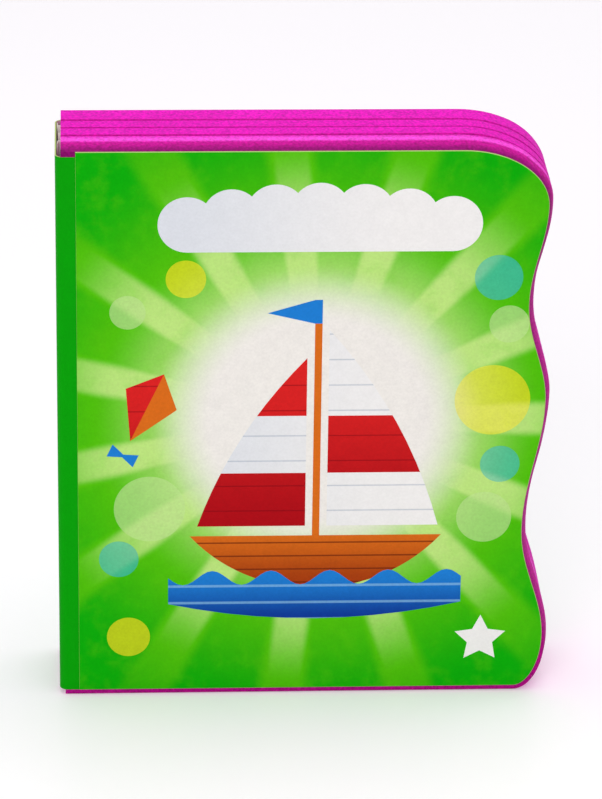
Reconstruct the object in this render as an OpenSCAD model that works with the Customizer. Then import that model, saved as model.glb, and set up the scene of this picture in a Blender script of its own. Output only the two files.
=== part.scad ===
// Soft book of foam boards, standing upright. Front cover towards -Y, spine at -X.
// Millimetres. The origin is at the middle of the underside of the closed book.

/* [Book] */
// Height of the boards
book_h = 165; // [150:1:200]
// Width from the outside of the spine to the bottom lobe, the widest one
book_w = 137.5; // [115:0.5:190]

/* [Boards and sheets] */
// Thickness of the foam board in each cover
cover_t = 8.4; // [7:0.1:10]
// Thickness of the foam board in each inner leaf
leaf_t = 5.5; // [4.5:0.1:8]
// Thickness of the printed sheet on the outside of a cover
sheet_t = 0.4; // [0.3:0.05:0.6]
// Thickness of the printed paper on the pages and inside the covers
page_t = 0.2; // [0.1:0.05:0.4]
// How far the rounded outer edge of a cover reaches in from the outline
edge_in = 1.4; // [0.6:0.1:1.8]
// How far the same rounding reaches into the thickness of the board
edge_deep = 3.2; // [1.5:0.1:4.5]
// Softening of the inner edge of a cover board, which shows as a groove
groove = 0.5; // [0.2:0.05:0.8]

/* [Fore-edge] */
// Height of the widest point of the bottom lobe, and of its round corner
low_lobe_z = 17.4; // [14:0.1:26]
// Width of the bottom round corner
low_corner_w = 9.3; // [8:0.1:20]
// Height of the lower waist
low_waist_z = 50.7; // [40:0.1:60]
// Height of the middle lobe
mid_lobe_z = 90; // [80:0.5:95]
// Distance of the upper waist below the top
high_waist_drop = 46.7; // [36:0.1:50]
// Distance of the top lobe below the top, and height of its round corner
top_lobe_drop = 17.6; // [12:0.1:24]
// Width of the top round corner
top_corner_w = 25; // [14:0.5:28]
// How far the lower waist is cut in from the widest lobe
low_waist_in = 6.8; // [3:0.1:9]
// How far the middle lobe stays behind the widest one
mid_lobe_in = 1.5; // [0:0.1:2.5]
// How far the upper waist is cut in from the widest lobe
high_waist_in = 7; // [3:0.1:9]
// How far the top lobe stays behind the widest one
top_lobe_in = 2.5; // [0:0.1:2.8]

/* [Spine] */
// Thickness of the strip that covers the spine
strip_t = 0.4; // [0.3:0.05:0.6]
// Hollow between the strip and the ends of the boards
spine_gap = 1.2; // [0.8:0.1:2]
// Width of the strip on the face of a cover, counted from the outside of the spine
wing_w = 10; // [8:0.5:16]
// Clearance between the foam and the strip where the strip turns the corner
bend_clear = 0.1; // [0.05:0.05:0.4]
// Radius at the outer corner of the strip
corner_r = 2.2; // [1:0.1:2.6]
// Distance of the fold line inside the thickness of the cover
fold_in = 2.2; // [1.8:0.1:3]
// How far each folded paper edge stands out into the hollow
paper_out = 0.7; // [0.3:0.05:0.75]
// How much lower than the sheet the strip ends at the top
strip_drop = 1.5; // [0:0.1:4]

/* [Margins] */
// Foam left bare around each printed sheet
margin = 1.6; // [1:0.1:4]
// Distance of the cover sheet's left edge from the outside of the spine
sheet_x = 5.5; // [4:0.1:7.5]

/* [Print] */
// Depth of a printed field in its sheet
ink_t = 0.15; // [0.05:0.01:0.2]
// Number of light rays
rays = 15; // [9:1:21]
// Width of one ray, in degrees
ray_angle = 9; // [4:0.5:12]
// Pale ring that the glow in the middle of the rays leaves above the pennant
glow_edge = 4.5; // [2:0.5:8]
// Width of the bare white panel
panel_w = 88; // [60:1:92]
// Distance of the panel's middle below the top of the sheet
panel_drop = 21; // [18:0.5:24]
// Radius of the bumps along the panel
bump_r = 8; // [6:0.5:9]
// Half width of the boat's deck
deck_w = 35; // [26:1:37]
// Height of the hull above the water
hull_h = 13; // [10:0.5:15]
// Height of the mast
mast_h = 64; // [44:1:66]
// Thickness of the mast and of the gap between mast and sail
mast_t = 2; // [1.4:0.1:3]
// Height of the sails' feet above the deck
foot_h = 3; // [2:0.5:6]
// Length of the pennant
flag_w = 14; // [8:0.5:18]
// Height of the pennant
flag_h = 7; // [4:0.5:9]
// How far the water reaches past the deck at each side
water_out = 6; // [3:0.5:12]
// Thickness of the water at its ends
water_t = 8; // [5:0.5:10]
// Height of a crest above the middle of the waves
crest_h = 2.2; // [1:0.1:3]
// Number of crests in the water
crests = 5; // [3:1:7]
// Half the length of the kite
kite_h = 11; // [8:0.5:12]
// Radius of the star's points
star_r = 7.5; // [6:0.5:9.5]
// Size of the largest dot
dot_r = 11; // [8:0.5:12]

/* [Hidden] */
$fn = 64;

// Steps along each round corner and each wave of the fore-edge.
corner_steps = 8;
wave_steps = 9;
// Steps around the rounded outer edge of a cover board.
edge_steps = 4;
// The bottom left corner of the strip ends level with the sheets.
strip_z = margin;
strip_h = book_h - 2 * margin - strip_drop;

// Depths, counted along Y from the middle of the book to its front.
fold_t = 2 * page_t;
y_leaf = fold_t / 2;
y_page = y_leaf + leaf_t;
y_lining = y_page + page_t;
y_inner = y_lining + page_t;
y_board = y_inner + cover_t;
y_face = y_board + sheet_t;
y_fold = y_lining + fold_in;

// The boards start behind the strip and the hollow.
board_x = strip_t + spine_gap;
page_x = board_x - paper_out;

// Widths of the lobes and waists.
low_waist_x = book_w - low_waist_in;
mid_lobe_x = book_w - mid_lobe_in;
high_waist_x = book_w - high_waist_in;
high_waist_z = book_h - high_waist_drop;
top_lobe_x = book_w - top_lobe_in;
top_lobe_z = book_h - top_lobe_drop;

// A quarter of an ellipse around [cx, cz], from angle a to a + 90.
function quarter(cx, cz, rx, rz, a) = [
    for (i = [0 : corner_steps])
        let (t = a + 90 * i / corner_steps)
        [cx + rx * cos(t), cz + rz * sin(t)]
];

// A smooth half wave from [xa, za] up to [xb, zb], without its first point.
function wave(xa, za, xb, zb) = [
    for (i = [1 : wave_steps])
        let (t = i / wave_steps)
        [xa + (xb - xa) * (1 - cos(180 * t)) / 2, za + (zb - za) * t]
];

// The edge of a board from the bottom of the spine, round the fore-edge, to its top.
edge = concat(
    quarter(book_w - low_corner_w, low_lobe_z, low_corner_w, low_lobe_z, -90),
    wave(book_w, low_lobe_z, low_waist_x, low_waist_z),
    wave(low_waist_x, low_waist_z, mid_lobe_x, mid_lobe_z),
    wave(mid_lobe_x, mid_lobe_z, high_waist_x, high_waist_z),
    wave(high_waist_x, high_waist_z, top_lobe_x, top_lobe_z),
    [for (p = quarter(top_lobe_x - top_corner_w, top_lobe_z, top_corner_w, top_lobe_drop, 0))
        if (p[1] > top_lobe_z) p]
);
last = len(edge) - 1;

// Unit vector that points into the board at point i of the edge.
function inward(i) =
    i == 0 ? [0, 1] :
    i == last ? [0, -1] :
    let (d = edge[i + 1] - edge[i - 1])
    [-d[1], d[0]] / norm(d);

// The whole outline, set in by d, with its straight left side at x.
function outline(d, x) = concat(
    [[x, d]],
    [for (i = [0 : last]) edge[i] + d * inward(i)],
    [[x, book_h - d]]
);

// A flat shape in the XZ plane, thickened along Y from y to y + t.
module slab(y, t) {
    translate([0, y + t, 0])
        rotate([90, 0, 0])
            linear_extrude(t)
                children();
}

// Everything is drawn with the spine at x = 0, and placed here.
module place() {
    translate([-book_w / 2, 0, 0])
        children();
}

// A cover board: rings of the outline from its outer face to its inner face.
// Each ring is [inset, distance behind the outer face].
board_rings = concat(
    [for (k = [0 : edge_steps])
        let (a = 90 * k / edge_steps)
        [edge_in * (1 - sin(a)), edge_deep * (1 - cos(a))]],
    [[0, cover_t - groove], [groove, cover_t]]
);

module rounded_board() {
    ring_n = last + 3;
    ring_last = len(board_rings) - 1;
    points = [
        for (r = board_rings)
            for (p = outline(r[0], board_x))
                [p[0], r[1] - y_board, p[1]]
    ];
    sides = [
        for (r = [0 : ring_last - 1])
            for (i = [0 : ring_n - 1])
                let (
                    j = (i + 1) % ring_n,
                    a = r * ring_n + i,
                    b = r * ring_n + j,
                    c = b + ring_n,
                    d = a + ring_n
                )
                each [[a, b, c], [a, c, d]]
    ];
    outer = [for (i = [ring_n - 1 : -1 : 0]) i];
    inner = [for (i = [0 : ring_n - 1]) ring_last * ring_n + i];
    polyhedron(points, concat([outer, inner], sides));
}

// The foam gives way under the strip, which lies flush in the board's face and
// runs round the corner at the spine.
module board_with_rebate() {
    bend_x = max(corner_r - board_x, 0);
    bend_y = corner_r - sqrt(pow(corner_r - strip_t, 2) - pow(bend_x, 2)) + bend_clear;
    difference() {
        rounded_board();
        translate([0, -y_board - 1, strip_z])
            cube([wing_w, strip_t + 1, strip_h]);
        translate([0, -y_board - 1, strip_z])
            cube([corner_r, bend_y + 1, strip_h]);
    }
}

// A printed sheet, with its left edge at x.
module sheet_shape(x) {
    polygon(outline(margin, x));
}

// The strip's part on a cover, seen from above: a leg on the spine, a round corner
// and a wing that lies in the face of the board.
module strip_profile() {
    translate([0, corner_r - y_board])
        square([strip_t, y_board - y_fold - corner_r]);
    translate([corner_r, -y_board])
        square([wing_w - corner_r, strip_t]);
    intersection() {
        translate([corner_r, corner_r - y_board])
            difference() {
                circle(corner_r);
                circle(corner_r - strip_t);
            }
        translate([0, -y_board])
            square(corner_r);
    }
}

module cover_strip() {
    translate([0, 0, strip_z])
        linear_extrude(strip_h)
            strip_profile();
}

// Print of the front cover: flat shapes in the XZ plane

// Half the width and half the height of the sheet.
reach_x = (book_w - sheet_x) / 2;
reach_z = book_h / 2 - margin;
// Middle of the rays, a little above the middle of the sheet.
art_x = sheet_x + reach_x;
art_z = book_h / 2 + reach_z * 0.025;
// The mast stands with a little over half its height below that middle.
deck_drop = mast_h * 0.55;
deck_z = art_z - deck_drop;
glow_r = mast_h + flag_h - deck_drop + glow_edge;
panel_z = book_h - margin - panel_drop;
// The hull is round below, and goes a little deeper than the waves.
bow_h = hull_h + crest_h * 1.5;
bow_r = (deck_w * deck_w + bow_h * bow_h) / (2 * bow_h);

// Points of a curve from a to b that swells by h at its middle.
function swell(a, b, h, n = 10) = [
    for (i = [0 : n])
        let (t = i / n, d = (b - a) / norm(b - a))
        a + (b - a) * t + 4 * h * t * (1 - t) * [d[1], -d[0]]
];

module ray_shapes() {
    translate([art_x, art_z])
        for (i = [0 : rays - 1])
            rotate(360 * i / rays)
                polygon([
                    [0, 0],
                    book_h * [cos(ray_angle / 2), sin(ray_angle / 2)],
                    book_h * [cos(ray_angle / 2), -sin(ray_angle / 2)]
                ]);
}

module glow_shape() {
    translate([art_x, art_z])
        circle(glow_r);
}

// A place on the sheet, as shares of its half width and half height from the middle
// of the rays.
function spot(x, z) = [art_x + x * reach_x, art_z + z * reach_z];

// Dots as [x share, z share, share of the largest dot].
pale_dots = [[-0.7, -0.33, 0.9], [0.71, -0.37, 0.7], [-0.79, 0.4, 0.45], [0.79, 0.35, 0.5]];
yellow_dots = [[-0.79, -0.82, 0.55], [0.73, 0.07, 0.95], [-0.55, 0.52, 0.5]];
teal_dots = [[-0.83, -0.52, 0.5], [0.74, 0.52, 0.6], [0.77, -0.17, 0.5]];

module dots(list) {
    for (d = list)
        translate(spot(d[0], d[1]))
            circle(d[2] * dot_r);
}

module panel_shape() {
    reach = panel_w / 2 - bump_r;
    for (i = [-3 : 3])
        translate([art_x + i * reach / 3, panel_z + bump_r * (9 - i * i) / 18])
            circle(bump_r);
    translate([art_x - reach, panel_z - bump_r])
        square([2 * reach, bump_r * 1.5]);
}

module on_deck() {
    translate([art_x, deck_z])
        children();
}

module hull_shape() {
    on_deck()
        intersection() {
            translate([0, bow_r - bow_h])
                circle(bow_r);
            translate([-bow_r, -2 * bow_h])
                square([2 * bow_r, 2 * bow_h]);
        }
}

module mast_shape() {
    on_deck()
        translate([-mast_t / 2, 0])
            square([mast_t, mast_h]);
}

module main_sail() {
    on_deck()
        polygon(concat(
            [[mast_t * 1.5, foot_h]],
            swell([deck_w - mast_t / 2, foot_h], [mast_t * 1.5, mast_h * 0.97], mast_h * 0.06)
        ));
}

module fore_sail() {
    on_deck()
        polygon(concat(
            [[-mast_t * 1.5, foot_h]],
            swell([-mast_t * 1.5, mast_h * 0.84], [mast_t - deck_w, foot_h], mast_h * 0.05)
        ));
}

// One broad band across the sails, as high as a quarter of the mast.
module sail_band() {
    on_deck()
        translate([-deck_w, mast_h * 0.3])
            square([2 * deck_w, mast_h * 0.27]);
}

module pennant() {
    on_deck()
        polygon([
            [mast_t / 2, mast_h],
            [mast_t / 2, mast_h + flag_h],
            [-mast_t / 2, mast_h + flag_h],
            [-flag_w, mast_h + flag_h * 0.45],
            [-mast_t / 2, mast_h]
        ]);
}

// The water: a band with rounded crests above and a swelling line below.
module water_shape() {
    reach = deck_w + water_out;
    top = [
        for (i = [0 : 12 * crests])
            let (t = i / (12 * crests))
            [reach * (1 - 2 * t), crest_h * sin(360 * crests * t)]
    ];
    bottom = swell([-reach, -water_t], [reach, -water_t], water_t * 0.6);
    translate([art_x, deck_z - hull_h])
        polygon(concat(top, bottom));
}

// Places a shape drawn around the middle of the kite.
module on_kite() {
    translate(spot(-0.71, 0.05))
        rotate(-25)
            scale(kite_h)
                children();
}

module kite_half(side) {
    on_kite()
        polygon([[0, 1], [side * 0.7, 0.25], [0, -1]]);
}

module kite_bow() {
    on_kite()
        translate([0, -1.45])
            polygon([[-0.36, 0.18], [0, 0.04], [0.36, 0.18], [0.36, -0.18], [0, -0.04], [-0.36, -0.18]]);
}

module star_shape() {
    translate(spot(0.71, -0.84))
        polygon([
            for (i = [0 : 9])
                (i % 2 == 0 ? star_r : star_r * 0.5) * [sin(36 * i), cos(36 * i)]
        ]);
}

module white_shapes() {
    panel_shape();
    star_shape();
    difference() {
        main_sail();
        sail_band();
    }
    intersection() {
        fore_sail();
        sail_band();
    }
}

module red_shapes() {
    kite_half(-1);
    intersection() {
        main_sail();
        sail_band();
    }
    difference() {
        fore_sail();
        sail_band();
    }
}

module orange_shapes() {
    difference() {
        hull_shape();
        water_shape();
    }
    mast_shape();
    kite_half(1);
}

module blue_shapes() {
    pennant();
    water_shape();
    kite_bow();
}

// The figures as whole shapes, whatever their inks.
module figure_shapes() {
    panel_shape();
    star_shape();
    main_sail();
    fore_sail();
    mast_shape();
    hull_shape();
    kite_half(-1);
    kite_half(1);
    blue_shapes();
}

// All the shapes that lie over the rays and the glow.
module upper_shapes() {
    figure_shapes();
    dots(pale_dots);
    dots(yellow_dots);
    dots(teal_dots);
}

// A printed field, flush with the face of the cover sheet and cut at its edge.
module ink() {
    place()
        slab(-y_face, ink_t)
            intersection() {
                sheet_shape(sheet_x);
                children();
            }
}

// Dots lie behind the figures.
module dot_ink(list) {
    ink()
        difference() {
            dots(list);
            figure_shapes();
        }
}

// Pieces of the pages

// Two leaves, joined by the folded sheet that is glued in between them.
module pages() {
    color("orchid")
        place() {
            slab(-y_page, leaf_t)
                polygon(outline(0, board_x));
            slab(y_leaf, leaf_t)
                polygon(outline(0, board_x));
            slab(-y_leaf, fold_t)
                sheet_shape(page_x);
        }
}

module first_page() {
    color("lightyellow")
        place()
            slab(-y_lining, page_t)
                sheet_shape(page_x);
}

module last_page() {
    color("lightyellow")
        place()
            slab(y_page, page_t)
                sheet_shape(page_x);
}

module spine_strip() {
    color("green")
        place()
            translate([0, -y_fold, strip_z])
                cube([strip_t, 2 * y_fold, strip_h]);
}

// Pieces of the front cover

module front_board() {
    color("orchid")
        place()
            board_with_rebate();
}

module cover_sheet() {
    color("limegreen")
        place()
            difference() {
                slab(-y_face, sheet_t)
                    sheet_shape(sheet_x);
                slab(-y_face - 1, ink_t + 1) {
                    ray_shapes();
                    glow_shape();
                    upper_shapes();
                }
            }
}

module front_lining() {
    color("lightyellow")
        place()
            slab(-y_inner, page_t)
                sheet_shape(page_x);
}

module front_strip() {
    color("green")
        place()
            cover_strip();
}

// Pieces of the back cover, which mirror the front ones

module back_board() {
    color("orchid")
        place()
            mirror([0, 1, 0])
                board_with_rebate();
}

module back_sheet() {
    color("limegreen")
        place()
            slab(y_board, sheet_t)
                sheet_shape(sheet_x);
}

module back_lining() {
    color("lightyellow")
        place()
            slab(y_lining, page_t)
                sheet_shape(page_x);
}

module back_strip() {
    color("green")
        place()
            mirror([0, 1, 0])
                cover_strip();
}

// Printed fields of the front cover

module print_rays() {
    color("palegreen")
        ink()
            difference() {
                ray_shapes();
                glow_shape();
                upper_shapes();
            }
}

module print_glow() {
    color("ivory")
        ink()
            difference() {
                glow_shape();
                upper_shapes();
            }
}

module print_pale() {
    color("honeydew")
        dot_ink(pale_dots);
}

module print_yellow() {
    color("gold")
        dot_ink(yellow_dots);
}

module print_teal() {
    color("mediumturquoise")
        dot_ink(teal_dots);
}

module print_white() {
    color("white")
        ink()
            white_shapes();
}

module print_orange() {
    color("chocolate")
        ink()
            orange_shapes();
}

module print_red() {
    color("crimson")
        ink()
            red_shapes();
}

module print_blue() {
    color("royalblue")
        ink()
            blue_shapes();
}

pages();
first_page();
last_page();
spine_strip();
front_board();
cover_sheet();
front_lining();
front_strip();
back_board();
back_sheet();
back_lining();
back_strip();
print_rays();
print_glow();
print_pale();
print_yellow();
print_teal();
print_white();
print_orange();
print_red();
print_blue();
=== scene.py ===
# %% [markdown]
# # A soft book of foam boards
# This lesson dresses a small play book that stands upright. Four boards of coloured
# foam are held by a folded paper strip at the spine, and each cover carries a
# printed sheet. The CAD model gives every size, and this script adds what the hand
# and the eye notice: pressed foam, cut paper edges, and the softness of the print.

# %% Load the fixed frame
import math
import bmesh
import bpy
import numpy as np
from mathutils import Matrix, Vector


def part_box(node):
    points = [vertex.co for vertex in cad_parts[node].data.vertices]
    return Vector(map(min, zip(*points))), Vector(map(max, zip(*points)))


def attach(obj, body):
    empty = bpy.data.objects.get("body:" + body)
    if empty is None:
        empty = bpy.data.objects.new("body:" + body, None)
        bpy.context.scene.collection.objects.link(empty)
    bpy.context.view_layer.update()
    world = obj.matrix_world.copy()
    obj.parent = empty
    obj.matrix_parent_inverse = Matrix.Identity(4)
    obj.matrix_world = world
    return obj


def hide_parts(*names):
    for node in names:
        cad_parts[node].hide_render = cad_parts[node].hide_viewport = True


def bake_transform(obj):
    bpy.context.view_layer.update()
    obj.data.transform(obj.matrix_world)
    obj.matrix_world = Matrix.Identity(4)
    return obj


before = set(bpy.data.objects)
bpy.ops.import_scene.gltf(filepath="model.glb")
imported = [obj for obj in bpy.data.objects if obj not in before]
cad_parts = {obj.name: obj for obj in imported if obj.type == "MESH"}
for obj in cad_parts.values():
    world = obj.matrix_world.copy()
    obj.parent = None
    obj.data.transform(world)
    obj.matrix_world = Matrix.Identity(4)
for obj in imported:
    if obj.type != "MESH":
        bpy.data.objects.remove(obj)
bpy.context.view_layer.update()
mm = 0.001

# %% [markdown]
# ## The camera
# The photograph was taken from in front and above, about three degrees to the left,
# with the camera turned very slightly. The angles were fitted to the edges of the book.
# A long lens keeps the sides of the book nearly parallel, as they are in the
# photograph, so the camera stands more than a metre away.

# %% Place the camera
elevation, azimuth, roll = math.radians(23.89), math.radians(-3.14), math.radians(0.85)
distance = 1200 * mm
focal_pixels, picture_pixels = 4310, 602
aim = Vector((-1.03, 0.0, 84.13)) * mm

to_camera = Vector((math.sin(azimuth) * math.cos(elevation),
                    -math.cos(azimuth) * math.cos(elevation), math.sin(elevation)))
right = Vector((math.cos(azimuth), math.sin(azimuth), 0))
up = right.cross(-to_camera)
across = right * math.cos(roll) + up * math.sin(roll)
upward = up * math.cos(roll) - right * math.sin(roll)
view = bpy.data.cameras.new("view")
view.sensor_fit = "HORIZONTAL"
view.sensor_width = 36
view.lens = view.sensor_width * focal_pixels / picture_pixels
camera = bpy.data.objects.new("view", view)
camera.matrix_world = Matrix((
    (across.x, upward.x, to_camera.x, aim.x + to_camera.x * distance),
    (across.y, upward.y, to_camera.y, aim.y + to_camera.y * distance),
    (across.z, upward.z, to_camera.z, aim.z + to_camera.z * distance),
    (0, 0, 0, 1)))
bpy.context.scene.collection.objects.link(camera)
bpy.context.scene.camera = camera
print("lens", round(view.lens, 1), "mm")

# %% [markdown]
# ## Sizes of the book
# The lines that the pieces share are written once, in millimetres from the outside
# of the spine. X runs from the spine to the fore-edge, Y from the front cover to the
# back, and Z up. The CAD boxes tell where the book stands, so the front board's depth
# and height are checked against them before anything is built.

# %% Sizes, and a check against the CAD
tall, wide = 165.0, 137.5
face_y, board_y, inner_y, lining_y, page_y = 14.9, 14.5, 6.1, 5.9, 5.7
leaf_y, fold_y = 0.2, 8.1
board_x, page_x, sheet_x, wing_x = 1.6, 0.9, 5.5, 10.0
margin, strip_low, strip_high = 1.6, 1.6, 161.9
spine_at = -wide / 2

low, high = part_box("pages")
print("pages from the CAD:", [round(v / mm, 2) for v in (*low, *high)])
low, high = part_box("front_board")
assert abs(low.y / mm + board_y) < 0.05 and abs(high.z / mm - tall) < 0.05

# %% [markdown]
# ## The outline with its wavy fore-edge
# All boards and sheets share one outline: straight at the spine, top and bottom, and
# wavy at the fore-edge, where a child's hand takes hold. Half cosine waves join the
# lobes and waists, because they have no kinks. Each point also gets a direction that
# points into the board, so any smaller outline is found by stepping inwards.

# %% Outline points and their inward directions
lobes = [(wide, 17.4), (wide - 6.8, 50.7), (wide - 1.5, 90.0),
         (wide - 7.0, tall - 46.7), (wide - 2.5, tall - 17.6)]
low_corner, high_corner = 9.3, 25      # how far each corner reaches towards the spine
CORNER_STEPS, WAVE_STEPS = 20, 24


def round_corner(centre_x, centre_z, reach_x, reach_z, start):
    """A quarter of an ellipse, as points."""
    turns = [math.radians(start + 90 * i / CORNER_STEPS) for i in range(CORNER_STEPS + 1)]
    return [(centre_x + reach_x * math.cos(a), centre_z + reach_z * math.sin(a)) for a in turns]


def fore_edge():
    """The edge from the bottom of the spine, round the fore-edge, to the top."""
    low_x, low_z = lobes[0]
    points = round_corner(low_x - low_corner, low_z, low_corner, low_z, -90)
    for (xa, za), (xb, zb) in zip(lobes, lobes[1:]):
        for i in range(1, WAVE_STEPS + 1):
            t = i / WAVE_STEPS
            points.append((xa + (xb - xa) * (1 - math.cos(math.pi * t)) / 2, za + (zb - za) * t))
    top_x, top_z = lobes[-1]
    return points + round_corner(top_x - high_corner, top_z, high_corner, tall - top_z, 0)[1:]


edge = np.array(fore_edge())
ahead = np.gradient(edge, axis=0)
inward = np.stack([-ahead[:, 1], ahead[:, 0]], 1)
inward /= np.linalg.norm(inward, axis=1)[:, None]
inward[0], inward[-1] = (0, 1), (0, -1)


def outline(inset, left):
    """Closed outline in millimetres, set in by inset, with its left side at left."""
    curve = edge + inward * inset
    return [(left, inset), *map(tuple, curve), (left, tall - inset)]


print(len(outline(0, board_x)), "points round a board")

# %% [markdown]
# ## Helpers for colours and nodes
# Colours are written as the numbers that a screen shows, and turned into the linear
# values that the renderer works with. The little helpers add one node at a time, so
# that a material or a geometry tree reads like a short sum.

# %% Colour and node helpers


def shade(red, green, blue):
    """A screen colour, 0 to 255, as linear values."""
    parts = [c / 255 for c in (red, green, blue)]
    return (*[c / 12.92 if c < 0.04045 else ((c + 0.055) / 1.055) ** 2.4 for c in parts], 1.0)


def plug(tree, source, socket):
    """Links an output to a socket, or writes a plain value into it."""
    if isinstance(source, bpy.types.NodeSocket):
        tree.links.new(source, socket)
    else:
        socket.default_value = source


def calc(tree, operation, *values):
    """One Math node."""
    node = tree.nodes.new("ShaderNodeMath")
    node.operation = operation
    for socket, value in zip(node.inputs, values):
        plug(tree, value, socket)
    return node.outputs[0]


def node(tree, kind, settings=None, **inputs):
    """One node, with its settings and its inputs by name."""
    made = tree.nodes.new(kind)
    for name, value in (settings or {}).items():
        setattr(made, name, value)
    for name, value in inputs.items():
        plug(tree, value, made.inputs[name.replace("_", " ")])
    return made


def fade(tree, value, start, end):
    """0 before start, 1 after end, and smooth between them."""
    made = tree.nodes.new("ShaderNodeMapRange")
    made.interpolation_type = "SMOOTHSTEP"
    for socket, number in zip(made.inputs, (value, start, end, 0.0, 1.0)):
        plug(tree, number, socket)
    return made.outputs[0]


def mix(tree, share, first, second):
    """Mixes two colours."""
    made = tree.nodes.new("ShaderNodeMix")
    made.data_type = "RGBA"
    plug(tree, share, made.inputs[0])
    plug(tree, first, made.inputs[6])
    plug(tree, second, made.inputs[7])
    return made.outputs[2]


def group(name, inputs, outputs):
    """An empty shader group with named sockets, given as (name, kind, value)."""
    tree = bpy.data.node_groups.new(name, "ShaderNodeTree")
    for label, kind, value in inputs:
        socket = tree.interface.new_socket(label, in_out="INPUT", socket_type="NodeSocket" + kind)
        socket.default_value = value
    for label, kind in outputs:
        tree.interface.new_socket(label, in_out="OUTPUT", socket_type="NodeSocket" + kind)
    return tree, tree.nodes.new("NodeGroupInput").outputs, tree.nodes.new("NodeGroupOutput").inputs


def use(tree, shared, **inputs):
    """Puts a shared group into a material and gives its outputs."""
    made = tree.nodes.new("ShaderNodeGroup")
    made.node_tree = shared
    for name, value in inputs.items():
        plug(tree, value, made.inputs[name.replace("_", " ")])
    return made.outputs


def material(name):
    """A new material: its tree and its main shader."""
    made = bpy.data.materials.new(name)
    made.use_nodes = True
    return made, made.node_tree, made.node_tree.nodes["Principled BSDF"]


def place(tree):
    """Object coordinates, which are metres in the book's own frame."""
    return tree.nodes.new("ShaderNodeTexCoord").outputs["Object"]


# %% [markdown]
# ## Paper grain, shared by every printed sheet
# The sheets are smooth coated card. Close up the coating still follows the fibres a
# little, and the ink is not perfectly even. One group holds both effects, so that
# every sheet, the strip and the folded pages show the same kind of paper.

# %% Group: paper grain
paper, pin, pout = group("paper grain", [
    ("Ink", "Color", (1, 1, 1, 1)), ("Mottle", "Float", 0.35), ("Fibre", "Float", 1.0)],
    [("Color", "Color"), ("Roughness", "Float"), ("Height", "Float")])
spot = place(paper)
cloudy = node(paper, "ShaderNodeTexNoise", Vector=spot, Scale=260.0, Detail=3.0).outputs[0]
fibres = node(paper, "ShaderNodeTexNoise", Vector=spot, Scale=2600.0, Detail=4.0).outputs[0]
specks = node(paper, "ShaderNodeTexNoise", Vector=spot, Scale=1500.0, Detail=2.0).outputs[0]
uneven = calc(paper, "ADD", calc(paper, "MULTIPLY", cloudy, 0.4),
              calc(paper, "MULTIPLY", specks, 0.6))
patchy = calc(paper, "MULTIPLY", calc(paper, "SUBTRACT", uneven, 0.5), pin["Mottle"])
tone = node(paper, "ShaderNodeHueSaturation", Color=pin["Ink"],
            Value=calc(paper, "ADD", 1.0, patchy)).outputs[0]
plug(paper, tone, pout["Color"])
plug(paper, calc(paper, "ADD", 0.36, calc(paper, "MULTIPLY", cloudy, 0.16)), pout["Roughness"])
plug(paper, calc(paper, "MULTIPLY", fibres, pin["Fibre"]), pout["Height"])


def card_finish(name, colour_of, fibre=1.0, coat=0.01, mottle=0.35):
    """A printed card: colour_of(tree) gives its ink, the shared grain does the rest."""
    made, tree, shader = material(name)
    grain = use(tree, paper, Ink=colour_of(tree), Mottle=mottle, Fibre=fibre)
    bump = node(tree, "ShaderNodeBump", Height=grain["Height"], Strength=0.12, Distance=0.00006)
    plug(tree, grain["Color"], shader.inputs["Base Color"])
    plug(tree, grain["Roughness"], shader.inputs["Roughness"])
    plug(tree, bump.outputs[0], shader.inputs["Normal"])
    shader.inputs["Coat Weight"].default_value = coat
    shader.inputs["Coat Roughness"].default_value = 0.22
    shader.inputs["Specular IOR Level"].default_value = 0.05
    return made


# %% [markdown]
# ## Sun rays, shared by the cover and its dots
# The cover print is a burst of soft rays around a pale glow. The CAD holds them as
# flat fields, and here they get their soft edges. The rays are found from the angle
# round the middle of the print, which is read from the CAD's own glow. The dots are
# see-through, so their ink mixes with this same pattern. Faint lighter blotches keep
# the green from looking flat.

# %% Group: sun rays
glow_low, glow_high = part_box("print_glow")
glow_radius = (glow_high.x - glow_low.x) / 2
sun_x = (glow_low.x + glow_high.x) / 2
sun_z = glow_high.z - glow_radius
print("middle of the rays:", round(sun_x / mm, 2), round(sun_z / mm, 2),
      "glow", round(glow_radius / mm, 2))

rays, rin, rout = group("sun rays", [
    ("Rays", "Float", 15.0), ("Share", "Float", 9 / 24), ("Glow radius", "Float", glow_radius),
    ("Ray reach", "Float", 20 * mm), ("Green", "Color", shade(4, 177, 2)),
    ("Light green", "Color", shade(92, 201, 4)), ("Haze", "Color", shade(194, 235, 130)),
    ("Glow", "Color", shade(245, 241, 234))],
    [("Color", "Color")])
apart = node(rays, "ShaderNodeSeparateXYZ", Vector=place(rays)).outputs
dx = calc(rays, "SUBTRACT", apart["X"], sun_x)
dz = calc(rays, "SUBTRACT", apart["Z"], sun_z)
squares = calc(rays, "ADD", calc(rays, "MULTIPLY", dx, dx), calc(rays, "MULTIPLY", dz, dz))
reach = calc(rays, "SQRT", squares)
circle_share = calc(rays, "DIVIDE", calc(rays, "ARCTAN2", dz, dx), 2 * math.pi)
turn = calc(rays, "MULTIPLY", circle_share, rin["Rays"])
from_ray = calc(rays, "ABSOLUTE", calc(rays, "SUBTRACT", turn, calc(rays, "ROUND", turn)))
half = calc(rays, "MULTIPLY", rin["Share"], 0.5)
soft = 0.07      # half the soft side of a ray, as a share of their pitch
ray_mask = fade(rays, from_ray, calc(rays, "ADD", half, soft), calc(rays, "SUBTRACT", half, soft))
level = calc(rays, "SUBTRACT", reach, calc(rays, "MULTIPLY", ray_mask, rin["Ray reach"]))
to_haze = fade(rays, reach, calc(rays, "MULTIPLY", rin["Glow radius"], 0.72),
               calc(rays, "MULTIPLY", rin["Glow radius"], 1.16))
light_full, green_from, green_full = 62 * mm, 48 * mm, 90 * mm      # from the middle
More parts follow.
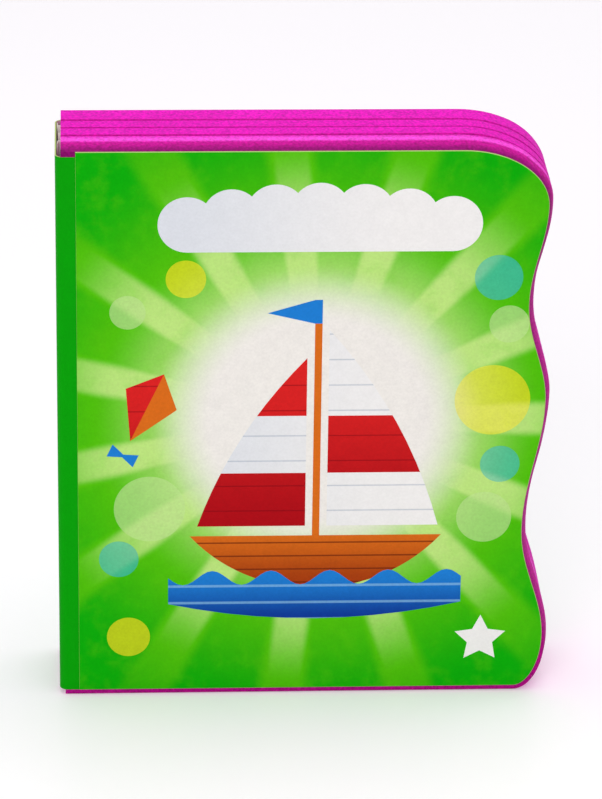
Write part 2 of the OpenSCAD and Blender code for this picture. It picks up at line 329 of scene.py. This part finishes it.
to_light = fade(rays, level, calc(rays, "MULTIPLY", rin["Glow radius"], 0.8), light_full)
to_green = fade(rays, level, green_from, green_full)
field = mix(rays, to_light, rin["Haze"], rin["Light green"])
field = mix(rays, to_green, field, rin["Green"])
leafy = node(rays, "ShaderNodeTexNoise", Vector=place(rays), Scale=130.0, Detail=5.0,
             Roughness=0.65).outputs[0]
leaf_share = calc(rays, "MULTIPLY", fade(rays, leafy, 0.46, 0.7), 0.24)
field = mix(rays, leaf_share, field, shade(96, 196, 12))
plug(rays, mix(rays, to_haze, rin["Glow"], field), rout["Color"])

# %% [markdown]
# ## Finishes of the print
# Each ink keeps to one hue, as a cheap four-colour print does, with a lighter and a
# darker side. The hull shows planks, the sails a few seams and the water pale
# crests. All of it is drawn from the place on the sheet, so it stays put. The back
# and the pages aren't seen in the photograph, so they are plain green and plain white.

# %% Finishes: cover, dots and figures
sheet_print = card_finish("cover print", lambda t: use(t, rays)["Color"], mottle=0.3)


def dot_print(name, ink, share):
    """See-through ink over the rays."""
    return card_finish(name, lambda t: mix(t, share, use(t, rays)["Color"], shade(*ink)))


def graded(tree, axis, start, end, first, second):
    """A colour that changes evenly along one axis of the sheet, from start to end."""
    along = node(tree, "ShaderNodeSeparateXYZ", Vector=place(tree)).outputs[axis]
    return mix(tree, fade(tree, along, start * mm, end * mm), shade(*first), shade(*second))


def stripes(tree, axis, pitch, share):
    """1 on thin lines across an axis, a pitch apart in millimetres."""
    along = node(tree, "ShaderNodeSeparateXYZ", Vector=place(tree)).outputs[axis]
    step = calc(tree, "FRACT", calc(tree, "DIVIDE", along, pitch * mm))
    near = calc(tree, "ABSOLUTE", calc(tree, "SUBTRACT", step, 0.5))
    return fade(tree, near, share, share * 0.4)


def between(tree, axis, start, end):
    """1 where the place along an axis lies between two values in millimetres."""
    along = node(tree, "ShaderNodeSeparateXYZ", Vector=place(tree)).outputs[axis]
    return calc(tree, "MULTIPLY", calc(tree, "GREATER_THAN", along, start * mm),
                calc(tree, "LESS_THAN", along, end * mm))


def lined(tree, ground, pitch, share, strength, start, end, line):
    """Thin level lines over a colour, only between two heights."""
    lines = calc(tree, "MULTIPLY", stripes(tree, "Z", pitch, share), between(tree, "Z", start, end))
    return mix(tree, calc(tree, "MULTIPLY", lines, strength), ground, shade(*line))


def plank_ink(tree):
    """Orange planks with dark seams."""
    boards = graded(tree, "Z", 34, 52, (168, 60, 10), (222, 110, 26))
    return lined(tree, boards, 4.1, 0.08, 0.75, 20, 49, (104, 34, 8))


seams = (7.6, 0.035, 0.5, 48, 118)      # pitch, share, strength, lowest and highest


def sail_ink(tree):
    """White cloth, a little bluer towards the spine, with grey seams."""
    cloth = graded(tree, "X", -46, 30, (224, 228, 234), (247, 245, 242))
    return lined(tree, cloth, *seams, (150, 164, 184))


def sail_red(tree):
    """Red cloth with dark seams."""
    cloth = graded(tree, "Z", 50, 100, (176, 6, 20), (224, 34, 34))
    return lined(tree, cloth, *seams, (120, 0, 16))


def water_ink(tree):
    """Blue water with pale crests."""
    sea = graded(tree, "Z", 22, 38, (8, 50, 150), (30, 128, 214))
    return lined(tree, sea, 5.2, 0.1, 0.5, 20, 40, (150, 206, 240))


finishes = {
    "print_pale": dot_print("pale dots", (196, 232, 150), 0.55),
    "print_yellow": dot_print("yellow dots", (250, 232, 40), 0.55),
    "print_teal": dot_print("teal dots", (60, 190, 180), 0.6),
    "print_white": card_finish("white print", sail_ink, mottle=0.2),
    "print_orange": card_finish("plank print", plank_ink),
    "print_red": card_finish("red print", sail_red),
    "print_blue": card_finish("water print", water_ink),
}
strip_print = card_finish("strip print", lambda t: shade(1, 163, 1), mottle=0.3)
cut_paper = card_finish("cut paper", lambda t: shade(176, 204, 120), fibre=2.0, coat=0.0)
bare_paper = card_finish("bare paper", lambda t: shade(226, 232, 214), fibre=2.0, coat=0.0)
back_print = card_finish("back print", lambda t: shade(8, 168, 4))
page_print = card_finish("page print", lambda t: shade(238, 238, 230), mottle=0.2)
print(len(finishes), "finishes for the figures")

# %% [markdown]
# ## Foam
# The boards are closed-cell foam. The cut edge is light and a little velvety, and the
# rounded side has a smoother skin, painted darker: partly its own colour and partly
# painted shade of sides that face away from the top lamp. More painted shade darkens it
# where it dips under the paper, most of all near the top. The front cover's edge is
# pressed the most, and a painted highlight makes its crest palest. Whether a spot is edge
# or skin is read from the direction of the surface in the book's own frame, so it turns
# with the board. Fine cells give the bump, and wider waves in it are the marks of the
# cutting die.

# %% Finish: foam
cut_tilt, skin_and_shade_tilt = 0.07, 0.24                  # how far the surface faces front or back
highlight_from, highlight_full = -6.4 * mm, -8.6 * mm     # Y of the painted highlight on the front cover's crest
painted_shade_from, painted_shade_full = -11.2 * mm, -14.4 * mm   # Y of the painted shade where the skin dips under the paper
top_shade_from, top_shade_full = 100 * mm, 160 * mm         # Z over which that painted shade grows stronger towards the top

foam, t, foam_shader = material("foam")
normal = t.nodes.new("ShaderNodeTexCoord").outputs["Normal"]
facing = node(t, "ShaderNodeSeparateXYZ", Vector=normal).outputs["Y"]
tilt = calc(t, "ABSOLUTE", facing)
# The skin is painted darker than the cut edge: partly the foam's own skin, partly painted shade of sides
# facing away from the top lamp.
skin_and_shade = fade(t, tilt, cut_tilt, skin_and_shade_tilt)
spot = node(t, "ShaderNodeSeparateXYZ", Vector=place(t)).outputs
# Painted highlight: a band along the crest of the front cover's edge is painted palest.
painted_highlight = fade(t, spot["Y"], highlight_from, highlight_full)
# Painted shade: the skin is painted darker where it dips under the paper, more towards the top.
top_shade_boost = calc(t, "ADD", 0.4, calc(t, "MULTIPLY", fade(t, spot["Z"], top_shade_from, top_shade_full), 0.5))
painted_shade = calc(t, "MULTIPLY", fade(t, spot["Y"], painted_shade_from, painted_shade_full), top_shade_boost)
cells = node(t, "ShaderNodeTexVoronoi", Vector=place(t), Scale=2400.0).outputs["Distance"]
pits = node(t, "ShaderNodeTexNoise", Vector=place(t), Scale=1300.0, Detail=3.0).outputs[0]
waves = node(t, "ShaderNodeTexNoise", Vector=place(t), Scale=70.0, Detail=2.0).outputs[0]
lit_edge_pink = mix(t, waves, shade(216, 4, 174), shade(240, 12, 196))
# The painted highlight lightens the edge colour.
lit_edge_pink = mix(t, calc(t, "MULTIPLY", painted_highlight, 0.85), lit_edge_pink, shade(255, 78, 222))
# The shaded skin colour, darkened further by the painted shade.
shaded_skin_pink = mix(t, painted_shade, shade(198, 12, 146), shade(130, 0, 100))
tint = mix(t, skin_and_shade, lit_edge_pink, shaded_skin_pink)
speck = calc(t, "ADD", 1.0, calc(t, "MULTIPLY", calc(t, "SUBTRACT", pits, 0.5), 1.5))
grainy = node(t, "ShaderNodeHueSaturation", Color=tint, Value=speck).outputs[0]
plug(t, grainy, foam_shader.inputs["Base Color"])
fine = calc(t, "ADD", pits, calc(t, "MULTIPLY", waves, 0.8))
height = calc(t, "ADD", calc(t, "MULTIPLY", cells, 0.5), fine)
plug(t, node(t, "ShaderNodeBump", Height=height, Strength=0.4, Distance=0.00016).outputs[0],
     foam_shader.inputs["Normal"])
foam_shader.inputs["Roughness"].default_value = 0.62
foam_shader.inputs["Specular IOR Level"].default_value = 0.08
foam_shader.inputs["Sheen Weight"].default_value = 0.04
foam_shader.inputs["Sheen Tint"].default_value = shade(255, 120, 226)
foam_shader.inputs["Sheen Roughness"].default_value = 0.5
foam_shader.inputs["Subsurface Weight"].default_value = 0.12
foam_shader.inputs["Subsurface Radius"].default_value = (0.002, 0.0006, 0.0016)
foam_shader.inputs["Subsurface Scale"].default_value = 0.6

# %% [markdown]
# ## A geometry tree for a foam board
# Every board has the same rule: one outline, a front and a back, and edges that the
# die rounded over. So one tree makes them all. A grid is bent into the rim: its
# columns follow the outline and its rows go from one face to the other. Two copies of
# the outline's own face close it. A short straight row behind each rounding keeps the
# shading of the side even. A little noise along the outline is the wobble that a soft
# sheet gets when it is cut, and an attribute called roundness makes the bottom crisper.

# %% Tree: foam board
STEPS = 7              # rows in one rounded edge
ROWS = 2 * STEPS + 4
RING = 0.8 * mm        # flat ring of the rim that meets a face
GUARD = 0.3 * mm       # straight row behind a rounding
WELD = 0.004 * mm      # points closer than this become one


def board_tree():
    """Bends a grid into the rim of a board and closes it with two faces."""
    tree = bpy.data.node_groups.new("foam board", "GeometryNodeTree")
    tree.interface.new_socket("Geometry", in_out="INPUT", socket_type="NodeSocketGeometry")
    for label in ("Outer face", "Direction", "Thickness", "Outer inset", "Outer depth",
                  "Inner inset", "Inner depth", "Bevel", "Wobble", "Seed"):
        tree.interface.new_socket(label, in_out="INPUT", socket_type="NodeSocketFloat")
    tree.interface.new_socket("Foam", in_out="INPUT", socket_type="NodeSocketMaterial")
    tree.interface.new_socket("Geometry", in_out="OUTPUT", socket_type="NodeSocketGeometry")
    get = tree.nodes.new("NodeGroupInput").outputs
    flat = get["Geometry"]

    def sampled(value, index, kind="FLOAT_VECTOR"):
        """A value at one point of the outline."""
        made = node(tree, "GeometryNodeSampleIndex", {"data_type": kind, "domain": "POINT"})
        plug(tree, flat, made.inputs["Geometry"])
        plug(tree, value, made.inputs["Value"])
        plug(tree, index, made.inputs["Index"])
        return made.outputs[0]

    def attribute(label, kind, index):
        """A named attribute of one point of the outline."""
        named = node(tree, "GeometryNodeInputNamedAttribute", {"data_type": kind}, Name=label)
        return sampled(named.outputs[0], index, kind)

    def roundness(index):
        """How much of the rounding a point gets, from 0 to 1."""
        return attribute("roundness", "FLOAT", index)

    def put(index, inset, depth):
        """The place of an outline point, set in and moved back."""
        point = sampled(tree.nodes.new("GeometryNodeInputPosition").outputs[0], index)
        into = attribute("inward", "FLOAT_VECTOR", index)
        noise = node(tree, "ShaderNodeTexNoise", {"noise_dimensions": "4D"}, Vector=point,
                     W=get["Seed"], Scale=90.0, Detail=1.0).outputs[0]
        dent = calc(tree, "MAXIMUM", calc(tree, "SUBTRACT", noise, 0.35), 0.0)
        wobble = calc(tree, "MULTIPLY", dent, get["Wobble"])
        total = calc(tree, "ADD", inset, wobble)
        moved = node(tree, "ShaderNodeVectorMath", {"operation": "SCALE"}, Scale=total)
        plug(tree, into, moved.inputs[0])
        added = node(tree, "ShaderNodeVectorMath", {"operation": "ADD"})
        plug(tree, point, added.inputs[0])
        plug(tree, moved.outputs[0], added.inputs[1])
        split = node(tree, "ShaderNodeSeparateXYZ", Vector=added.outputs[0]).outputs
        deep = calc(tree, "ADD", get["Outer face"], calc(tree, "MULTIPLY", depth, get["Direction"]))
        return node(tree, "ShaderNodeCombineXYZ", X=split["X"], Y=deep, Z=split["Z"]).outputs[0]

    count = node(tree, "GeometryNodeAttributeDomainSize", {"component": "MESH"},
                 Geometry=flat).outputs[0]
    grid = node(tree, "GeometryNodeMeshGrid", Size_X=count, Size_Y=float(ROWS - 1),
                Vertices_X=calc(tree, "ADD", count, 1.0), Vertices_Y=ROWS).outputs[0]
    where = node(tree, "ShaderNodeSeparateXYZ",
                 Vector=tree.nodes.new("GeometryNodeInputPosition").outputs[0]).outputs
    column = calc(tree, "ROUND", calc(tree, "ADD", where["X"], calc(tree, "DIVIDE", count, 2.0)))
    row = calc(tree, "ROUND", calc(tree, "ADD", where["Y"], (ROWS - 1) / 2))
    column = calc(tree, "FLOORED_MODULO", column, count)
    outer = calc(tree, "LESS_THAN", row, STEPS + 1.5)
    from_end = calc(tree, "MINIMUM", row, calc(tree, "SUBTRACT", ROWS - 1.0, row))
    step = calc(tree, "SUBTRACT", from_end, 1.0)
    share = node(tree, "ShaderNodeClamp", Value=calc(tree, "DIVIDE", step, STEPS - 1.0)).outputs[0]
    angle = calc(tree, "MULTIPLY", share, math.pi / 2)
    bevel = calc(tree, "MULTIPLY", get["Bevel"], outer)
    curved = calc(tree, "SUBTRACT", 1.0, bevel)
    round_in = calc(tree, "SUBTRACT", 1.0, calc(tree, "SINE", angle))
    round_deep = calc(tree, "SUBTRACT", 1.0, calc(tree, "COSINE", angle))
    back_in = calc(tree, "ADD", calc(tree, "MULTIPLY", curved, round_in),
                   calc(tree, "MULTIPLY", bevel, calc(tree, "SUBTRACT", 1.0, share)))
    back_deep = calc(tree, "ADD", calc(tree, "MULTIPLY", curved, round_deep),
                     calc(tree, "MULTIPLY", bevel, share))
    plump = roundness(column)

    def pick(first, second):
        """The first value on the outer half of the rim, the second on the inner half."""
        made = node(tree, "GeometryNodeSwitch", {"input_type": "FLOAT"})
        plug(tree, outer, made.inputs["Switch"])
        plug(tree, second, made.inputs["False"])
        plug(tree, first, made.inputs["True"])
        return made.outputs[0]

    rim_end = calc(tree, "MAXIMUM", calc(tree, "LESS_THAN", row, 0.5),
                   calc(tree, "GREATER_THAN", row, ROWS - 1.5))
    full_inset = calc(tree, "MULTIPLY", back_in, pick(get["Outer inset"], get["Inner inset"]))
    inset = calc(tree, "MULTIPLY", full_inset, plump)
    inset = calc(tree, "ADD", inset, calc(tree, "MULTIPLY", rim_end, RING))
    guard = calc(tree, "MULTIPLY", calc(tree, "GREATER_THAN", step, STEPS - 0.5), GUARD)
    outer_deep = calc(tree, "MULTIPLY", calc(tree, "MULTIPLY", back_deep, get["Outer depth"]), plump)
    inner_deep = calc(tree, "MULTIPLY", calc(tree, "MULTIPLY", back_deep, get["Inner depth"]), plump)
    deep = pick(calc(tree, "ADD", outer_deep, guard),
                calc(tree, "SUBTRACT", get["Thickness"], calc(tree, "ADD", inner_deep, guard)))
    bent = put(column, inset, deep)
    rim = node(tree, "GeometryNodeSetPosition", Geometry=grid, Position=bent).outputs[0]

    own = tree.nodes.new("GeometryNodeInputIndex").outputs[0]
    joined = tree.nodes.new("GeometryNodeJoinGeometry")
    tree.links.new(rim, joined.inputs[0])
    for inset_name, depth in (("Outer inset", 0.0), ("Inner inset", get["Thickness"])):
        rounded_in = calc(tree, "MULTIPLY", get[inset_name], roundness(own))
        level = put(own, calc(tree, "ADD", rounded_in, RING), depth)
        cap = node(tree, "GeometryNodeSetPosition", Geometry=flat, Position=level).outputs[0]
        tree.links.new(cap, joined.inputs[0])
    whole = node(tree, "GeometryNodeMergeByDistance", Geometry=joined.outputs[0],
                 Distance=WELD).outputs[0]
    real = node(tree, "GeometryNodeRealizeInstances", Geometry=whole).outputs[0]
    painted = node(tree, "GeometryNodeSetMaterial", Geometry=real, Material=get["Foam"]).outputs[0]
    tree.links.new(painted, tree.nodes.new("NodeGroupOutput").inputs[0])
    return tree


foam_board = board_tree()
print("foam board tree:", len(foam_board.nodes), "nodes")

# %% [markdown]
# ## The four boards
# The front cover has a broad soft edge on its outer side, where the paper sheet is
# pressed in, and the back cover a smaller one. Along the bottom the edge is crisper,
# because the book stands on it. The two inner leaves are thinner and just have their
# edges softened, so that fine grooves show between the boards. Each piece is turned
# into a plain mesh, its doubles are merged and its faces are made to point outwards.

# %% Build the boards
CRISP, CRISP_HEIGHT = 0.1, 30      # share of the rounding at the bottom, and where it is full


def flat_face(name, left):
    """The outline as one face, with the inward direction of every point."""
    points = outline(0, left)
    mesh = bpy.data.meshes.new(name)
    corners = [((x + spine_at) * mm, 0, z * mm) for x, z in points]
    mesh.from_pydata(corners, [], [list(range(len(points)))])
    directions = [(0, 0, 1), *[(x, 0, z) for x, z in inward], (0, 0, -1)]
    inside = mesh.attributes.new("inward", "FLOAT_VECTOR", "POINT")
    inside.data.foreach_set("vector", np.array(directions, float).ravel())
    plump = mesh.attributes.new("roundness", "FLOAT", "POINT")
    heights = np.clip(np.array([z for x, z in points]) / CRISP_HEIGHT, 0, 1)
    plump.data.foreach_set("value", CRISP + (1 - CRISP) * heights ** 2 * (3 - 2 * heights))
    made = bpy.data.objects.new(name, mesh)
    bpy.context.scene.collection.objects.link(made)
    return made


def plain_mesh(piece):
    """Replaces the piece's modifiers by their result."""
    bpy.context.view_layer.update()
    graph = bpy.context.evaluated_depsgraph_get()
    result = bpy.data.meshes.new_from_object(piece.evaluated_get(graph), depsgraph=graph)
    piece.modifiers.clear()
    piece.data = result
    return piece


def tidy_faces(piece, sharp=35):
    """Merges doubles, points the faces outwards and shades them smooth but for sharp edges."""
    work = bmesh.new()
    work.from_mesh(piece.data)
    bmesh.ops.remove_doubles(work, verts=work.verts, dist=1e-7)
    bmesh.ops.recalc_face_normals(work, faces=work.faces)
    for face in work.faces:
        face.smooth = True
    work.to_mesh(piece.data)
    work.free()
    piece.data.set_sharp_from_angle(angle=math.radians(sharp))
    return piece


def board(name, body, left, **sizes):
    """One foam board, with its sizes in millimetres."""
    piece = flat_face(name, left)
    maker = piece.modifiers.new("board", "NODES")
    maker.node_group = foam_board
    for socket in foam_board.interface.items_tree:
        if socket.in_out == "INPUT" and socket.name != "Geometry":
            value = foam if socket.name == "Foam" else sizes[socket.name.replace(" ", "_").lower()]
            plain = socket.name in ("Direction", "Bevel", "Seed", "Foam")
            maker[socket.identifier] = value if plain else value * mm
    tidy_faces(plain_mesh(piece))
    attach(piece, body)
    print(name, len(piece.data.polygons), "faces")
    return piece


front_round = dict(outer_inset=1.5, outer_depth=4.4, inner_inset=0.5, inner_depth=0.5,
                   bevel=0.7, wobble=0.5)
leaf_round = dict(outer_inset=0.45, outer_depth=0.5, inner_inset=0.35, inner_depth=0.4,
                  bevel=0.0, wobble=0.5)
back_round = dict(outer_inset=0.6, outer_depth=1.1, inner_inset=0.5, inner_depth=0.5,
                  bevel=0.0, wobble=0.5)
front_board = board("foam_front_cover", "front_cover", board_x, outer_face=-board_y, direction=1.0,
                    thickness=board_y - inner_y, seed=1.0, **front_round)
first_leaf = board("foam_first_leaf", "pages", board_x, outer_face=-page_y, direction=1.0,
                   thickness=page_y - leaf_y, seed=2.0, **leaf_round)
last_leaf = board("foam_last_leaf", "pages", board_x, outer_face=page_y, direction=-1.0,
                  thickness=page_y - leaf_y, seed=3.0, **leaf_round)
back_board = board("foam_back_cover", "back_cover", board_x, outer_face=board_y, direction=-1.0,
                   thickness=board_y - inner_y, seed=4.0, **back_round)
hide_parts("front_board")
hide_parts("pages")
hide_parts("pages")
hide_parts("back_board")

# %% [markdown]
# ## Printed sheets
# A sheet is a slab with a softly pressed edge. Its face carries the print, and its
# thin side is bare cut card, which catches the light as a pale line. It is built
# directly from the outline as three rings of points. The cover sheet's face lies a hair
# lower than the inks of its figures, so that the two don't meet in one plane.

# %% Build the sheets
sheet_crown = 0.14      # slope along the edge of the two outer sheets, in millimetres
below_inks = 0.03       # how far the cover sheet's face lies under the inks


def flat_sheet(name, body, left, inset, base, face, print_face, cut, crown=0.05):
    """A printed sheet from y = base to y = face, in millimetres."""
    step = math.copysign(crown, face - base)
    rings = [(inset, base), (inset, face - step), (inset + crown, face)]
    points = [((x + spine_at) * mm, y * mm, z * mm) for d, y in rings
              for x, z in outline(d, left + 0.4 * (d - inset))]
    n = len(points) // 3
    faces = [list(range(n)), list(range(2 * n, 3 * n))]
    faces += [[r * n + i, r * n + (i + 1) % n, (r + 1) * n + (i + 1) % n, (r + 1) * n + i]
              for r in (0, 1) for i in range(n)]
    mesh = bpy.data.meshes.new(name)
    mesh.from_pydata(points, [], faces)
    mesh.materials.append(print_face)
    mesh.materials.append(cut)
    for i, polygon in enumerate(mesh.polygons):
        polygon.material_index = 0 if i == 1 else 1
    piece = bpy.data.objects.new(name, mesh)
    bpy.context.scene.collection.objects.link(piece)
    tidy_faces(piece, 25)
    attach(piece, body)
    return piece


cover = flat_sheet("cover_sheet_printed", "front_cover", sheet_x, margin, -board_y,
                   -face_y + below_inks, sheet_print, cut_paper, sheet_crown)
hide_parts("cover_sheet", "print_rays", "print_glow")
back = flat_sheet("back_sheet_printed", "back_cover", sheet_x, margin, board_y, face_y,
                  back_print, cut_paper, sheet_crown)
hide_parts("back_sheet")
centre = flat_sheet("centre_sheet_folded", "pages", page_x, margin, -leaf_y, leaf_y,
                    page_print, bare_paper)
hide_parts("pages")
for name, body, base, face in (("front_lining", "front_cover", -inner_y, -lining_y),
                               ("first_page", "pages", -page_y, -lining_y),
                               ("back_lining", "back_cover", inner_y, lining_y),
                               ("last_page", "pages", page_y, lining_y)):
    paper_sheet = flat_sheet(name + "_printed", body, page_x, margin, base, face, page_print, bare_paper)
    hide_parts(name)
for name, finish in finishes.items():
    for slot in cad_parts[name].material_slots:
        slot.material = finish
print("sheets done")

# %% [markdown]
# ## The strip round the spine
# One strip of printed card wraps the spine and lies under both cover sheets. The real
# strip folds when a cover opens. Here it is made in two halves that meet in the middle
# of the spine, and each half bends round the corner of its own cover. Rows of points
# lie close together at the fold, where the card turns sharply.

# %% Build the two halves of the strip
BEND_STEPS = 12


def ribbon(name, outer, inner, low_z, high_z, outside, inside, cut):
    """A strip of card that stands upright between two paths of (x, y) points."""
    n = len(outer)
    points = [((x + spine_at) * mm, y * mm, z * mm) for z in (low_z, high_z)
              for x, y in [*outer, *inner]]
    mesh = bpy.data.meshes.new(name)
    faces, kinds = [], []
    for i in range(n - 1):
        a, b, c, d = i, i + 1, n + i + 1, n + i
        up_by = 2 * n
        faces += [[a, b, b + up_by, a + up_by], [d, c, c + up_by, d + up_by],
                  [a, b, c, d], [a + up_by, b + up_by, c + up_by, d + up_by]]
        kinds += [0, 1, 2, 2]
    for i in (0, n - 1):
        faces.append([i, n + i, n + i + 2 * n, i + 2 * n])
        kinds.append(2)
    mesh.from_pydata(points, [], faces)
    for finish in (outside, inside, cut):
        mesh.materials.append(finish)
    mesh.polygons.foreach_set("material_index", kinds)
    piece = bpy.data.objects.new(name, mesh)
    bpy.context.scene.collection.objects.link(piece)
    return tidy_faces(piece, 50)


def strip_half(name, side):
    """Half of the strip. side is -1 for the front and 1 for the back."""
    proud, bend, thick = 0.1, 2.2, 0.4      # step over the board, radius and thickness
    rows = [0.0, 3.0, 6.0, 7.2, *[7.4 + 0.2 * i for i in range(8)], 9.4, 10.6, board_y - bend]
    outer = [(0.0, side * y) for y in rows]
    inner = [(thick, side * y) for y in rows]
    for i in range(1, BEND_STEPS + 1):
        a = math.radians(90 * i / BEND_STEPS)
        for path, radius in ((outer, bend), (inner, bend - thick)):
            lift = proud * math.sin(a)
            path.append((bend - radius * math.cos(a),
                         side * (board_y - bend + radius * math.sin(a) + lift)))
    outer.append((wing_x, side * (board_y + proud)))
    inner.append((wing_x, side * (board_y + proud - thick)))
    piece = ribbon(name, outer, inner, strip_low, strip_high, strip_print, bare_paper, cut_paper)
    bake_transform(piece)
    return piece


front_strip = strip_half("strip_front_half", -1)
back_strip = strip_half("strip_back_half", 1)
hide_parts("front_strip", "spine_strip")
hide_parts("back_strip")

# %% [markdown]
# ## The folded paper in the gutters
# The page paper runs on from the inside of a cover to the first leaf. Closed, its
# spare length hangs as a narrow loop in the hollow of the spine. Open, the real paper
# bridges the gutter, but only the closed loop is built here. The loop is made of two
# ribbons: one starts at the leaf and one at the cover, and both turn by half at the
# point where they meet.

# %% Build the gutter loops


def gutter(side, label):
    """The loop at the front, side -1, or at the back, side 1."""
    thick, steps = 0.08, 10
    for owner, top_y, top_x, low_x in (("leaf", lining_y - 0.1, 0.86, 0.66),
                                       ("cover", lining_y + 0.1, 0.92, 0.76)):
        rows = [top_y + (fold_y - top_y) * i / steps for i in range(steps + 1)]
        xs = [top_x + (low_x - top_x) * i / steps for i in range(steps + 1)]
        outer = [(x - thick, side * y) for x, y in zip(xs, rows)]
        inner = [(x, side * y) for x, y in zip(xs, rows)]
        piece = ribbon(f"{label}_gutter_{owner}", outer, inner, margin, tall - margin,
                       bare_paper, bare_paper, bare_paper)
        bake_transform(piece)


gutter(-1, "front")
gutter(1, "back")

# %% [markdown]
# ## Floor, background and light
# The book stands on a pale floor that runs out to white. For that the floor has a
# little light of its own, which only the camera sees, so that its shadow stays. Two
# soft lamps light the book: one above it, and one in front and to the left.

# %% Stage and lamps
floor_mesh = bpy.data.meshes.new("floor")
far = 6      # metres from the middle of the floor to its sides
floor_mesh.from_pydata([(-far, -far, 0), (far, -far, 0), (far, far, 0), (-far, far, 0)], [],
                       [[0, 1, 2, 3]])
floor = bpy.data.objects.new("floor", floor_mesh)
bpy.context.scene.collection.objects.link(floor)
floor_finish, t, floor_shader = material("pale floor")
speckle = node(t, "ShaderNodeTexNoise", Vector=place(t), Scale=300.0, Detail=2.0).outputs[0]
speckled = mix(t, speckle, shade(239, 235, 239), shade(243, 239, 243))
plug(t, speckled, floor_shader.inputs["Base Color"])
floor_shader.inputs["Roughness"].default_value = 0.4
floor_shader.inputs["Specular IOR Level"].default_value = 0.12
camera_only = t.nodes.new("ShaderNodeLightPath").outputs["Is Camera Ray"]
floor_shader.inputs["Emission Color"].default_value = (1, 1, 1, 1)
plug(t, calc(t, "MULTIPLY", camera_only, 0.2), floor_shader.inputs["Emission Strength"])
floor_mesh.materials.append(floor_finish)

world = bpy.data.worlds.new("studio")
bpy.context.scene.world = world
world.use_nodes = True
t = world.node_tree
path = t.nodes.new("ShaderNodeLightPath").outputs
mirrored = calc(t, "MAXIMUM", path["Is Glossy Ray"], path["Is Transmission Ray"])
seen = calc(t, "MAXIMUM", path["Is Camera Ray"], mirrored)
sky = t.nodes["Background"]
plug(t, mix(t, seen, (0.52, 0.52, 0.53, 1), (1, 1, 1, 1)), sky.inputs["Color"])
sky.inputs["Strength"].default_value = 1.0


def lamp(name, place_at, aim_at, size, power):
    """A square soft lamp."""
    made = bpy.data.lights.new(name, "AREA")
    made.size, made.energy = size, power
    lamp_object = bpy.data.objects.new(name, made)
    direction = Vector(aim_at) - Vector(place_at)
    lamp_object.rotation_mode = "QUATERNION"
    lamp_object.rotation_quaternion = direction.to_track_quat("-Z", "Y")
    lamp_object.location = place_at
    bpy.context.scene.collection.objects.link(lamp_object)


lamp("above", (0.1, 0.15, 1.3), (0, 0, 0.05), 0.9, 6.5)
lamp("front", (-0.5, -1.5, 0.9), (0, 0, 0.08), 1.0, 10)
bpy.context.scene.view_settings.view_transform = "Standard"
